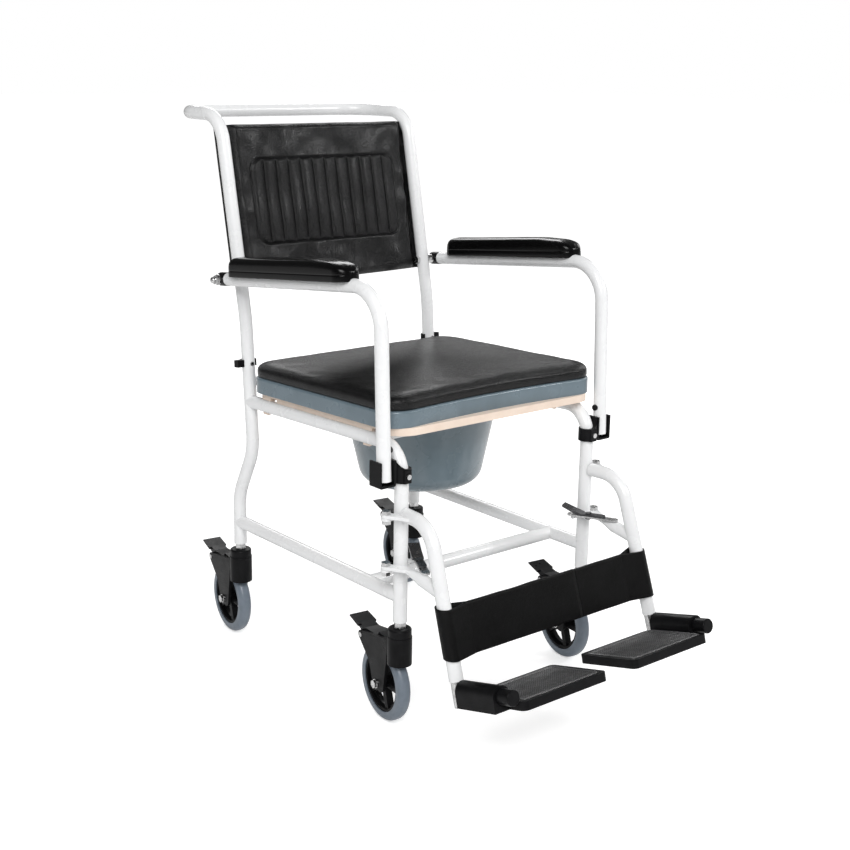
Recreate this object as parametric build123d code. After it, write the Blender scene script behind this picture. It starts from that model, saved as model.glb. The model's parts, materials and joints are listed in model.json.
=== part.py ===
from build123d import *
from math import atan2, cos, degrees, radians, sin, tan
import os

# A wheeled transit and commode chair in millimetres and degrees.
# It faces -Y, +X is the occupant's left, heights are from the floor,
# and until export y is measured rearwards from the front legs.

# Frame tubes
tube_d = 22.0
tube_wall = 1.5
bar_d = 16.0
leg_x = 199.0
leg_bottom_z = 178.5
rear_leg_y = 453.0
lower_rail_z = 219.0
lower_bar_y = 77.0

# Back posts and push bar, as corners of their centre line
knee_z = 270.0
waist_y = 406.6
waist_z = 360.0
shoulder_y = 423.0
shoulder_z = 583.0
push_bar_y = 633.0
push_bar_z = 921.0
back_lean = 11.5
knee_bend = 90.0
shoulder_bend = 300.0
post_top_bend = 55.0
push_bar_bend = 60.0

# Seat rails, which rise a little to the front and turn down into the front legs
rail_rise = 1.67
rail_front_z = 457.5
rail_bend = 46.0
front_bar_y = 62.0
rear_bar_z = 479.0

# Castors, turned alike about their stems
castor_turn = 7.0
wheel_r = 62.5
tyre_width = 22.0
tyre_depth = 15.0
castor_trail = 40.0
stem_d = 10.0
nut_height = 10.0
housing_r = 19.5
housing_gap = 0.5
rear_edge = 11.0
fork_toe = 10.0
cheek_gap = 13.0
cheek_wall = 5.5
arch_gap = 3.5
axle_d = 8.0
hub_spokes = 5
pedal_y = 88.0
pedal_z = 128.0
pedal_travel = 25.0
pedal_width = 33.0

# Armrests
arm_x = 231.0
arm_pivot_z = 655.0
arm_rise = 5.8
arm_foot_z = 409.0
arm_foot_y = 2.0
arm_knee_y = 13.5
arm_bend = 62.0
arm_tail = 14.0
plug_length = 25.0
bumper_z = 455.0
pivot_d = 8.0
pad_front_y = 76.0
pad_length = 319.0
pad_width = 46.0
pad_offset = 3.5
pad_height = 28.0
pad_sink = 5.0
socket_wall = 3.0
socket_play = 0.8
socket_height = 40.0
socket_drop = 8.5
collar_height = 21.0
lug_depth = 5.0

# Swing-away leg hangers
hanger_splay = 4.5
hanger_lean = 18.5
hanger_top_z = 354.0
hanger_end_z = 136.0
hanger_end_y = -148.3
hanger_bend = 52.0
swing_pin_x = 27.0
swing_pin_d = 8.0
arm_plate = 5.0
lower_arm_z = 272.5
lower_arm_d = 20.0

# Calf strap
strap_height = 72.0
strap_mid_z = 204.0
strap_wall = 2.2
strap_seam_x = 57.0
strap_taper = 70.0

# Footplates
plate_tilt = 15.0
spindle_d = 11.0
spindle_drop = 12.5
stem_tail = 24.0
stem_play = 0.1
barrel_r = 16.0
barrel_length = 84.0
knob_r = 12.0
knob_length = 24.0
plate_depth = 118.0
plate_width = 169.0
plate_rear = -10.0
plate_skirt = 14.0
plate_drop = 8.0
plate_rim = 7.0

# Seat, measured in the plane of the seat rails
board_width = 424.0
board_depth = 394.0
board_thick = 12.0
ring_width = 444.0
ring_depth = 398.0
ring_height = 26.0
ring_wall = 3.0
cushion_height = 25.0
seat_front_y = 4.0
seat_shift = 10.0
front_dip = 18.0
notch_front_y = 60.0
notch_rear_y = 338.0
notch_width = 19.0
clip_offset = 32.0
clip_width = 14.0
opening_width = 216.0
opening_depth = 262.0

# Pan and its guides
pan_base_r = 100.0
pan_depth = 141.0
pan_flange = 7.0
pan_wall = 2.5
rim_size = 276.0
rim_thick = 3.0
guide_wall = 2.0
guide_length = 260.0
guide_clear = 2.0
front_bar_gap = 0.6

# Back upholstery
panel_bottom_z = 642.0
panel_top_z = 903.0
panel_sheet = 3.0
panel_pad = 12.0
panel_overlap = 8.0
rear_clip_z = 512.0

# Clearances
run_gap = 0.05
slide_gap = 0.4
soft_gap = 0.3
seat_gap = 0.3

# Values worked out from the sizes above
tube_r = tube_d / 2
bore_r = tube_r - tube_wall
post_slope = tan(radians(back_lean))
post_top_y = shoulder_y + (push_bar_z - shoulder_z) * post_slope
mid_slope = (shoulder_y - waist_y) / (shoulder_z - waist_z)
rail_slope = tan(radians(rail_rise))
rail_rear_y = waist_y + (rail_front_z - waist_z) * mid_slope
housing_top_z = leg_bottom_z - nut_height - housing_gap
axle_z = wheel_r
hanger_slope = tan(radians(hanger_lean))
spindle_z = hanger_end_z - spindle_drop
spindle_y = hanger_end_y - spindle_drop * hanger_slope
stem_end_z = spindle_z - stem_tail
spindle_x = leg_x - spindle_y * sin(radians(hanger_splay))
spindle_world_y = spindle_y * cos(radians(hanger_splay))
arm_pivot_y = shoulder_y + (arm_pivot_z - shoulder_z) * post_slope
pan_top_r = rim_size / 2 - pan_flange
opening_y = front_bar_y + bar_d / 2 + front_bar_gap + guide_wall + slide_gap + rim_size / 2

LOW = (Align.CENTER, Align.CENTER, Align.MIN)


def post_y(z):
    """Rear tube centre line at a height above the waist."""
    if z < shoulder_z:
        return waist_y + (z - waist_z) * mid_slope
    return shoulder_y + (z - shoulder_z) * post_slope


def hanger_y(z):
    """Leaning part of a hanger's centre line, in the hanger's own plane."""
    return hanger_end_y + (z - hanger_end_z) * hanger_slope


def bent_tube(points, bends, diameter, wall):
    path = FilletPolyline(*points, radius=bends)
    mouth = Plane(origin=path @ 0, z_dir=path % 0)
    section = Circle(diameter / 2)
    if wall < diameter / 2:
        section -= Circle(diameter / 2 - wall)
    return sweep(mouth * section, path=path)


def rod(start, end, radius):
    """Solid round bar between two points."""
    span = Vector(*end) - Vector(*start)
    return Plane(origin=start, z_dir=span) * Cylinder(radius, span.length, align=LOW)


def pipe(start, end, diameter, wall):
    return rod(start, end, diameter / 2) - rod(start, end, diameter / 2 - wall)


def hex_prism(flats, height):
    return extrude(RegularPolygon(flats / 2, 6, major_radius=False), height)


def mirrored(shape):
    return mirror(shape, about=Plane.YZ)


# Frame

def back_loop_tube(diameter, wall):
    """Rear legs, back posts and push bar, bent from one tube."""
    side = [
        (rear_leg_y, leg_bottom_z),
        (rear_leg_y, knee_z),
        (waist_y, waist_z),
        (shoulder_y, shoulder_z),
        (post_top_y, push_bar_z),
        (push_bar_y, push_bar_z),
    ]
    bends = [knee_bend, knee_bend, shoulder_bend, post_top_bend, push_bar_bend]
    points = [(-leg_x, y, z) for y, z in side] + [(leg_x, y, z) for y, z in reversed(side)]
    return bent_tube(points, bends + bends[::-1], diameter, wall)


def back_loop():
    loop = back_loop_tube(tube_d, tube_wall)
    for x in (-leg_x, leg_x):
        start = (x - tube_d, arm_pivot_y, arm_pivot_z)
        loop -= rod(start, (x + tube_d, arm_pivot_y, arm_pivot_z), pivot_d / 2)
    for screw in back_screws() + clip_screws():
        loop -= screw
    return loop


def rail_z(y):
    return rail_front_z - y * rail_slope


def rear_post_rod(x):
    return rod((x, waist_y, waist_z), (x, shoulder_y, shoulder_z), tube_r)


def left_side_points():
    rear_y = rail_rear_y - 1.5
    return [(leg_x, rear_y, rail_z(rear_y)), (leg_x, 0, rail_front_z), (leg_x, 0, leg_bottom_z)]


def left_side_tube():
    """Seat rail and front leg, bent from one tube and coped to the rear post."""
    tube = bent_tube(left_side_points(), [rail_bend], tube_d, tube_wall)
    return tube - rear_post_rod(leg_x) - left_socket_screw()


def left_lower_rail():
    rail = pipe((leg_x, 0, lower_rail_z), (leg_x, rear_leg_y, lower_rail_z), tube_d, tube_wall)
    for y in (0, rear_leg_y):
        rail -= rod((leg_x, y, leg_bottom_z), (leg_x, y, knee_z), tube_r)
    return rail


def crossbars():
    """Lower front bar, front seat bar and rear seat bar."""
    lower = pipe((-leg_x, lower_bar_y, lower_rail_z), (leg_x, lower_bar_y, lower_rail_z), tube_d, tube_wall)
    front_z = rail_z(front_bar_y) + tube_r - bar_d / 2
    front = pipe((-leg_x, front_bar_y, front_z), (leg_x, front_bar_y, front_z), bar_d, tube_wall)
    rear_y = post_y(rear_bar_z)
    rear = pipe((-leg_x, rear_y, rear_bar_z), (leg_x, rear_y, rear_bar_z), bar_d, tube_wall)
    for x in (-leg_x, leg_x):
        lower -= rod((x, 0, lower_rail_z), (x, rear_leg_y, lower_rail_z), tube_r)
        front -= rod((x, 0, rail_front_z), (x, rail_rear_y, rail_z(rail_rear_y)), tube_r)
        rear -= rear_post_rod(x)
    return Compound([lower.solid(), front.solid(), rear.solid()])


# Castors, about a stem axis at the origin and a wheel that trails along +Y

def side_sketch():
    """Looking along X: local x runs rearwards and local y upwards."""
    return Plane(origin=(0, 0, 0), x_dir=(0, 1, 0), z_dir=(1, 0, 0))


def extruded_side(sketch, half_width):
    return extrude(side_sketch() * sketch, half_width, both=True)


def wheel_envelope():
    hub_axis = Plane(origin=(-cheek_gap, castor_trail, axle_z), z_dir=(1, 0, 0))
    return hub_axis * Cylinder(wheel_r + arch_gap, 2 * cheek_gap, align=LOW)


def fork():
    """Stem housing and two cheeks over the wheel, open above for the pedal."""
    half = cheek_gap + cheek_wall
    skirt_z = wheel_r + 46
    cap = housing_top_z - 14
    housing = Pos(0, 0, skirt_z) * Cylinder(housing_r, cap - skirt_z, align=LOW)
    crown = Pos(0, 0, cap) * Cylinder(housing_r - 1, housing_top_z - cap, align=LOW)
    crown = fillet(crown.edges().sort_by(Axis.Z)[-1], 3)
    toe_y = castor_trail - 12
    cheek = Polygon(
        (toe_y - fork_toe, axle_z),
        (4, housing_top_z - 19),
        (pedal_y - 4, pedal_z + 8),
        (pedal_y + 5, pedal_z - 5),
        (castor_trail + rear_edge + 10, axle_z + 30),
        (castor_trail + rear_edge, axle_z),
        align=None,
    )
    cheek += Pos(castor_trail, axle_z) * Circle(rear_edge)
    cheek += Pos(toe_y, axle_z) * Circle(fork_toe)
    cheek += Pos(pedal_y, pedal_z) * Circle(7.5)
    body = housing + crown + extruded_side(cheek, half)
    pocket_y = housing_r + 2.5
    body -= wheel_envelope()
    body -= Pos(0, pocket_y, axle_z) * Box(
        2 * cheek_gap, 100, 120, align=(Align.CENTER, Align.MIN, Align.MIN)
    )
    stem_bore = stem_d / 2 + run_gap
    body -= Pos(0, 0, housing_top_z - 35 - seat_gap) * Cylinder(stem_bore, 60, align=LOW)
    for y, z, d in ((castor_trail, axle_z, axle_d), (pedal_y, pedal_z, 5.0)):
        body -= rod((-half - 1, y, z), (half + 1, y, z), d / 2)
    return body


def castor_pins():
    """Axle bolt with its nut, and the pedal's pin."""
    half = cheek_gap + cheek_wall
    head = 4.0
    axle = rod((-half, castor_trail, axle_z), (half, castor_trail, axle_z), axle_d / 2)
    for side in (-1, 1):
        face = Plane(origin=(side * half, castor_trail, axle_z), z_dir=(side, 0, 0))
        axle += face * Cylinder(7.5, 1.5, align=LOW)
        axle += face * Pos(0, 0, 1.5) * hex_prism(12.0, head)
    pin = rod((-half - 1, pedal_y, pedal_z), (half + 1, pedal_y, pedal_z), 2.5)
    for side in (-1, 1):
        cap = Plane(origin=(side * half, pedal_y, pedal_z), z_dir=(side, 0, 0))
        pin += cap * Cylinder(4.0, 1.2, align=LOW)
    return Compound([axle.solid(), pin.solid()])


def hub():
    """Spoked hub with a rim channel, on the axle."""
    rim_r = wheel_r - tyre_depth
    axis = Plane(origin=(0, castor_trail, axle_z), z_dir=(1, 0, 0))
    half_boss = cheek_gap - 1
    rim = Cylinder(rim_r, tyre_width - 4) - Cylinder(rim_r - 4, tyre_width)
    web = Cylinder(rim_r - 3, 5) - Cylinder(rim_r - 9, 6)
    boss = Cylinder(11, 2 * half_boss)
    spoke = Pos(rim_r / 2, 0, 0) * Box(rim_r - 8, 9, 12)
    body = rim + web + boss
    for turn in range(hub_spokes):
        body += Rot(0, 0, turn * 360 / hub_spokes + 18) * spoke
    body -= Cylinder(axle_d / 2 + run_gap, 4 * half_boss)
    return axis * body


def tyre():
    inner = wheel_r - tyre_depth
    section = Pos(inner + tyre_depth / 2, 0) * Rectangle(tyre_depth, tyre_width)
    tread = section.vertices().group_by(Axis.X)[-1]
    section = fillet(tread, 9)
    ring = revolve(Plane.XZ * section, Axis.Z)
    return Plane(origin=(0, castor_trail, axle_z), z_dir=(1, 0, 0)) * ring


def pedal():
    """Brake pedal: tread behind the pin, release pad before it and a shoe under it."""
    reach = (pedal_y - castor_trail) ** 2 + (pedal_z - axle_z) ** 2
    shoe_r = reach ** 0.5 - wheel_r - seat_gap
    to_hub = degrees(atan2(pedal_z - axle_z, pedal_y - castor_trail)) + 180
    shoe = Polygon((0, -4), (shoe_r, -1.5), (shoe_r, 1.5), (0, 4), align=None)
    side = Pos(pedal_y, pedal_z) * Rot(0, 0, to_hub + pedal_travel) * shoe
    side += Pos(pedal_y, pedal_z) * Circle(6.5)
    lid_y = housing_r + 4
    side += Polygon(
        (lid_y, pedal_z + 9),
        (lid_y, pedal_z + 13),
        (pedal_y - 4, pedal_z + 12),
        (pedal_y + 36, pedal_z + 20),
        (pedal_y + 39, pedal_z + 18),
        (pedal_y + 6, pedal_z + 3),
        (pedal_y - 6, pedal_z + 3),
        (pedal_y - 10, pedal_z + 8),
        align=None,
    )
    narrow = extruded_side(side, cheek_gap - 0.5)
    tread = Polygon(
        (pedal_y + 9, pedal_z + 14.5),
        (pedal_y + 37, pedal_z + 21),
        (pedal_y + 40, pedal_z + 18.5),
        (pedal_y + 12, pedal_z + 9.5),
        align=None,
    )
    release = Polygon(
        (lid_y, pedal_z + 12),
        (lid_y, pedal_z + 17),
        (lid_y + 20, pedal_z + 19),
        (lid_y + 25, pedal_z + 12),
        align=None,
    )
    body = narrow + extruded_side(tread, pedal_width / 2) + extruded_side(release, cheek_gap - 2)
    return body - rod((-50, pedal_y, pedal_z), (50, pedal_y, pedal_z), 2.5 + run_gap)


def castor_stem():
    """Threaded stem with its nut and the plug that grips the leg's bore."""
    stem_bottom = housing_top_z - 35
    stem = Pos(0, 0, stem_bottom) * Cylinder(stem_d / 2, leg_bottom_z - stem_bottom, align=LOW)
    nut = Pos(0, 0, leg_bottom_z - nut_height) * hex_prism(17.0, nut_height)
    plug = Pos(0, 0, leg_bottom_z) * Cylinder(bore_r, 25, align=LOW)
    return stem + nut + plug


# Armrests

def arm_corner_z():
    return arm_pivot_z + (arm_pivot_y - arm_knee_y) * tan(radians(arm_rise))


def arm_line_z(y):
    return arm_pivot_z + (arm_pivot_y - y) * tan(radians(arm_rise))


def left_arm_tube():
    tail_y = arm_pivot_y - arm_tail
    points = [
        (arm_x, tail_y, arm_line_z(tail_y)),
        (arm_x, arm_knee_y, arm_corner_z()),
        (arm_x, arm_foot_y, arm_foot_z),
    ]
    return bent_tube(points, [arm_bend], tube_d, tube_wall)


def arm_frame(y):
    """Plane on the arm's centre line, with local x rearwards and z across to the left."""
    down = radians(arm_rise)
    return Plane(
        origin=(arm_x, y, arm_line_z(y)), x_dir=(0, cos(down), -sin(down)), z_dir=(1, 0, 0)
    )


def left_end_plug():
    """Black eye fitting pressed into the tube's rear end, which turns on the bolt."""
    tail_y = arm_pivot_y - arm_tail
    down = radians(arm_rise)
    axis = Plane(origin=(arm_x, tail_y, arm_line_z(tail_y)), z_dir=(0, cos(down), -sin(down)))
    eye = axis * Cylinder(tube_r + 0.5, plug_length, align=LOW)
    eye = fillet(eye.edges().sort_by(Axis.Y)[-1], 4)
    spigot = axis * Pos(0, 0, -20) * Cylinder(bore_r, 20, align=LOW)
    start = (arm_x - tube_d, arm_pivot_y, arm_pivot_z)
    end = (arm_x + tube_d, arm_pivot_y, arm_pivot_z)
    return eye + spigot - rod(start, end, pivot_d / 2 + run_gap)


def left_bumper():
    """Small rubber button on the inner face of the arm's upright."""
    lean = (arm_knee_y - arm_foot_y) / (arm_corner_z() - arm_foot_z)
    y = arm_foot_y + (bumper_z - arm_foot_z) * lean
    button = rod((arm_x - tube_r - 3, y, bumper_z), (arm_x - tube_r + 1, y, bumper_z), 5)
    return button - rod((arm_x, arm_foot_y, arm_foot_z), (arm_x, arm_knee_y, arm_corner_z()), tube_r)


def left_pivot_hardware():
    """Bolt through the post, spacer, washer and cap nut."""
    y, z = arm_pivot_y, arm_pivot_z
    inner = leg_x - tube_r
    outer = leg_x + tube_r
    fitting = tube_r + 0.5
    washer_x = arm_x + fitting + seat_gap
    head = Plane(origin=(inner, y, z), z_dir=(-1, 0, 0)) * hex_prism(13.0, 5.0)
    bolt = rod((inner, y, z), (washer_x + 2, y, z), pivot_d / 2) + head
    dome = Cylinder(5.5, 6, align=LOW)
    dome = fillet(dome.edges().sort_by(Axis.Z)[-1], 4)
    nut = Plane(origin=(washer_x + 2, y, z), z_dir=(1, 0, 0)) * (hex_prism(13.0, 6.0) + Pos(0, 0, 6) * dome)
    spacer = rod((outer - 1, y, z), (arm_x - fitting - seat_gap, y, z), 8.0)
    spacer -= rod((outer - 5, y, z), (arm_x, y, z), pivot_d / 2)
    spacer -= post_rod(leg_x)
    washer = rod((washer_x, y, z), (washer_x + 2, y, z), 9.0)
    washer -= rod((outer, y, z), (arm_x + 60, y, z), pivot_d / 2)
    return [bolt + nut, spacer, washer]


def post_rod(x):
    return rod((x, shoulder_y, shoulder_z), (x, post_top_y, push_bar_z), tube_r)


def left_arm_pad():
    """Padded arm rest: a rounded bar whose underside is channelled for the tube."""
    front = arm_frame(pad_front_y)
    length = pad_length / cos(radians(arm_rise))
    outline = RectangleRounded(length, pad_width, 18)
    pad = extrude(outline, pad_height + pad_sink)
    pad = fillet(pad.edges().group_by(Axis.Z)[-1], 11)
    seat = tube_r + soft_gap - pad_sink
    channel = Rot(0, 90, 0) * Cylinder(tube_r + soft_gap, 3 * length)
    body = Pos(length / 2, -pad_offset, seat) * pad - channel
    tilt = radians(arm_rise)
    lift = Plane(origin=front.origin, x_dir=front.x_dir, z_dir=(0, sin(tilt), cos(tilt)))
    return lift * body


def socket_floor():
    return arm_foot_z - socket_drop


def socket_screw_z():
    return socket_floor() + collar_height / 2 + 3


def left_socket():
    """Open-fronted U that catches the arm's foot, on a collar round the front leg."""
    half = tube_r + socket_play
    floor_z = socket_floor()
    outer_x = arm_x + half + socket_wall
    inner_x = arm_x - half - socket_wall
    front_y = arm_foot_y - tube_r + 1
    lean = (arm_knee_y - arm_foot_y) / (arm_corner_z() - arm_foot_z)
    rear_y = arm_foot_y + tube_r + socket_play + socket_height * lean + socket_wall
    depth = rear_y - front_y
    corner = (Align.MIN, Align.MIN, Align.MIN)
    block = Pos(inner_x, front_y, floor_z) * Box(outer_x - inner_x, depth, socket_height, align=corner)
    block = fillet(block.edges().filter_by(Axis.Y).group_by(Axis.Z)[0], 2.5)
    block -= Pos(inner_x + socket_wall, front_y - 1, floor_z + socket_wall) * Box(
        2 * half, depth + 1 - socket_wall, socket_height, align=corner
    )
    block -= Pos(inner_x + socket_wall, rear_y - socket_wall - 1, floor_z + 26) * Box(
        2 * half, socket_wall + 2, socket_height, align=corner
    )
    collar_r = tube_r + soft_gap
    collar_z = floor_z + 3
    gusset_height = socket_height - 3
    collar = Pos(leg_x, 0, collar_z) * Cylinder(collar_r + 3.5, gusset_height, align=LOW)
    lug = Pos(leg_x, -collar_r - lug_depth, collar_z) * Box(
        14, 12, collar_height, align=(Align.CENTER, Align.MIN, Align.MIN)
    )
    bridge = Pos(leg_x, front_y + 2, collar_z) * Box(
        inner_x + socket_wall - leg_x, depth - 4, gusset_height, align=corner
    )
    scoop_r = gusset_height - collar_height + 5
    scoop_z = collar_z + collar_height + scoop_r
    scoop = rod((leg_x - 5, -2 * tube_d, scoop_z), (leg_x - 5, 2 * tube_d, scoop_z), scoop_r)
    over = Pos(leg_x - 5, 0, collar_z + collar_height) * Box(
        2 * collar_r, 80, socket_height, align=(Align.MAX, Align.CENTER, Align.MIN)
    )
    clamp = collar + bridge - scoop - over + fillet(lug.edges().filter_by(Axis.Z), 1.5)
    body = block + clamp - bent_tube(left_side_points(), [rail_bend], 2 * collar_r, collar_r)
    return body - rod((leg_x, -40, socket_screw_z()), (leg_x, 0, socket_screw_z()), 2.0)


def left_socket_screw():
    z = socket_screw_z()
    face = -(tube_r + soft_gap) - lug_depth
    shank = rod((leg_x, face, z), (leg_x, -bore_r, z), 2.0)
    return shank + rod((leg_x, face - 2.5, z), (leg_x, face, z), 4.0)


# Leg hangers, about the leg's axis, in a plane turned outwards by the splay

def splayed(shape):
    return Pos(leg_x, 0, 0) * Rot(0, 0, hanger_splay) * shape


def swing_plate(z, reach, angle, width, thick):
    """Flat arm from the swing pin towards the hanger tube, in plan."""
    bar = Pos(reach / 2, 0) * SlotCenterToCenter(reach, width)
    sketch = Pos(swing_pin_x, 0) * Rot(0, 0, angle) * bar
    sketch -= Pos(swing_pin_x, 0) * Circle(swing_pin_d / 2 + run_gap)
    return Pos(0, 0, z) * extrude(sketch, thick)


def left_hanger():
    """Bent hanger tube with its two flattened swing arms welded on."""
    corner_y = hanger_y(hanger_top_z)
    mouth_y = -tube_r - 1.5
    points = [(0, mouth_y, hanger_top_z), (0, corner_y, hanger_top_z), (0, hanger_end_y, hanger_end_z)]
    tube = bent_tube(points, [hanger_bend], tube_d, tube_wall)
    upper = swing_plate(hanger_top_z - arm_plate / 2, 47, -124, 15, arm_plate)
    core = rod((0, mouth_y - 1, hanger_top_z), (0, corner_y, hanger_top_z), tube_r)
    upper -= core
    lower_z = lower_arm_z - arm_plate / 2
    plate = swing_plate(lower_z, 40, -124, 15, arm_plate)
    reach = Vector(swing_pin_x + 36 * cos(radians(-124)), 36 * sin(radians(-124)), lower_arm_z)
    join_z = lower_arm_z - 14
    root = Vector(0, hanger_y(join_z), join_z)
    shoulder = Vector(3, -62, lower_arm_z - 6)
    round_end = Plane(origin=shoulder, z_dir=root - shoulder) * Circle(lower_arm_d / 2)
    neck = loft([flat_section(reach, shoulder), round_end])
    limb = rod(tuple(shoulder), tuple(root), lower_arm_d / 2)
    lean = rod((0, corner_y, hanger_top_z), (0, hanger_end_y, hanger_end_z), tube_r)
    return splayed(tube + upper + (plate + neck + limb - lean))


def flat_section(start, towards):
    """Flattened end of the lower arm, wide in plan and as thin as the plate."""
    run = towards - start
    across = Vector(-run.Y, run.X, 0)
    section = Plane(origin=start, x_dir=across, z_dir=run)
    return section * RectangleRounded(15, arm_plate, 2)


def left_latch_line():
    """Plan ends of the latch plate, from the lower arm back past the leg."""
    return Vector(0, -66, 0), Vector(-29, 3, 0)


def left_latch_plate():
    front, rear = left_latch_line()
    run = rear - front
    angle = degrees(atan2(run.Y, run.X))
    z = lower_arm_z - 6 + lower_arm_d / 2
    mid = (front + rear) / 2
    strip = Pos(mid.X, mid.Y) * Rot(0, 0, angle) * SlotCenterToCenter(run.length, 13)
    pivot = latch_pivot()
    strip -= Pos(pivot.X, pivot.Y) * Circle(3 + run_gap)
    return splayed(Pos(0, 0, z) * extrude(strip, 3))


def latch_pivot():
    front, rear = left_latch_line()
    return front + (rear - front) * 0.6


def left_latch_lever():
    """Grey finger paddle on a rivet through the latch plate."""
    front, rear = left_latch_line()
    run = rear - front
    angle = degrees(atan2(run.Y, run.X))
    z = lower_arm_z - 6 + lower_arm_d / 2 + 3 + seat_gap
    arm = Pos(-6, 0) * SlotCenterToCenter(34, 13)
    blade = extrude(arm, 3)
    side = Polygon((8, 0), (16, 0), (44, 12), (44, 15), (8, 3), align=None)
    paddle = extrude(Plane.XZ * side, 9, both=True)
    paddle = fillet(paddle.edges().filter_by(Axis.Y).sort_by(Axis.X)[-1], 1)
    rivet = Pos(0, 0, -3 - 2 * seat_gap - 2) * Cylinder(3, 8, align=LOW)
    rivet += Pos(0, 0, -3 - 2 * seat_gap - 2) * Cylinder(5, 2, align=LOW)
    rivet += Pos(0, 0, 3) * Cylinder(5, 2, align=LOW)
    pivot = latch_pivot()
    lever = blade + paddle + rivet
    return splayed(Pos(pivot.X, pivot.Y, z) * Rot(0, 0, angle) * lever)


def left_brackets():
    """Two ears for the swing pins and the catch stub, welded to the front leg."""
    parts = []
    for z in (hanger_top_z, lower_arm_z):
        ear_z = z - arm_plate / 2 - seat_gap - 4
        ear = Pos(swing_pin_x / 2, 0) * Rectangle(swing_pin_x, 16) + Pos(swing_pin_x, 0) * Circle(8)
        ear -= Circle(tube_r) + Pos(swing_pin_x, 0) * Circle(swing_pin_d / 2)
        parts.append(splayed(Pos(0, 0, ear_z) * extrude(ear, 4)))
    stub_z = lower_arm_z - 6 + lower_arm_d / 2 - seat_gap - 3.5
    stub = rod((leg_x, 0, stub_z), (leg_x - 27, 0, stub_z), 3.5)
    parts.append(stub - rod((leg_x, 0, stub_z - 20), (leg_x, 0, stub_z + 20), tube_r))
    return parts


def left_swing_bolts():
    bolts = []
    for z in (hanger_top_z, lower_arm_z):
        top = z + arm_plate / 2 + seat_gap
        bottom = z - arm_plate / 2 - seat_gap - 4
        bolt = Pos(swing_pin_x, 0, bottom) * Cylinder(swing_pin_d / 2, top - bottom, align=LOW)
        bolt += Pos(swing_pin_x, 0, top) * hex_prism(13, 5)
        bolt += Pos(swing_pin_x, 0, bottom - 6) * hex_prism(13, 6)
        bolts.append(splayed(bolt))
    return bolts


# Calf strap, a loop round each hanger tube that closes to a double band

def strap_half(end_x):
    """Half of the strap on the left hanger, from its tube to the seam at end_x."""
    tube_y = hanger_y(strap_mid_z)
    x = leg_x - tube_y * sin(radians(hanger_splay))
    y = tube_y * cos(radians(hanger_splay))
    inner_r = (tube_r + soft_gap) / cos(radians(hanger_lean))
    outer_r = inner_r + strap_wall
    nose = Vector(x - strap_taper, y)
    outer = hull_of((x, y, outer_r), (nose.X, nose.Y, strap_wall))
    inner = hull_of((x, y, inner_r), (nose.X + 6, nose.Y, 0.6))
    spare = 10
    length = nose.X - end_x + spare
    band = Pos(nose.X - length / 2, y) * Rectangle(length, 2 * strap_wall)
    loop = outer + band - inner
    down = Vector(0, -sin(radians(hanger_lean)), -cos(radians(hanger_lean))).rotate(Axis.Z, hanger_splay)
    run = strap_height / cos(radians(hanger_lean))
    start = down * (-run / 2)
    strap = extrude(Pos(start.X, start.Y, strap_mid_z + start.Z) * loop, run, dir=down)
    return strap - Pos(end_x, y, strap_mid_z) * Box(
        4 * spare, 4 * spare, 4 * run, align=(Align.MAX, Align.CENTER, Align.CENTER)
    )


def hull_of(first, second):
    """Filled hull of two circles, each given as x, y and radius."""
    edges = [Edge.make_circle(r, Plane((x, y, 0))) for x, y, r in (first, second)]
    return make_hull(ShapeList(edges))


# Footrests: the stem follows the hanger tube and the spindle lies fore and aft

def spindle_frame():
    """Local x outwards from the plate, y rearwards along the spindle and z up."""
    tilt = radians(plate_tilt)
    centre = (spindle_x, spindle_world_y, spindle_z)
    return Plane(origin=centre, x_dir=(1, 0, 0), z_dir=(0, sin(tilt), cos(tilt)))


def left_footrest_stem():
    """Height-adjusting stem: it slides in the hanger tube and carries the spindle."""
    top_z = hanger_end_z + 40
    top = (0, hanger_y(top_z), top_z)
    bottom = (0, hanger_y(stem_end_z), stem_end_z)
    stem_d = 2 * bore_r - 2 * stem_play
    stem = pipe(top, bottom, stem_d, tube_wall)
    cap = (0, hanger_y(stem_end_z + 3), stem_end_z + 3)
    stem += rod(cap, bottom, stem_d / 2)
    return splayed(stem) - spindle_frame() * Rot(90, 0, 0) * Cylinder(spindle_d / 2, 60)


def left_spindle():
    """Spindle through the footplate's barrel, with a round knob at its front end."""
    start = 8.0
    front = 12 + barrel_length + 10
    shaft = Rot(90, 0, 0) * Cylinder(spindle_d / 2, front + start, align=LOW)
    knob = Pos(0, -front + start, 0) * Rot(90, 0, 0) * Cylinder(knob_r, knob_length, align=LOW)
    knob = fillet(knob.edges().sort_by(Axis.Y)[0], 2)
    return spindle_frame() * (Pos(0, start, 0) * shaft + knob)


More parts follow.
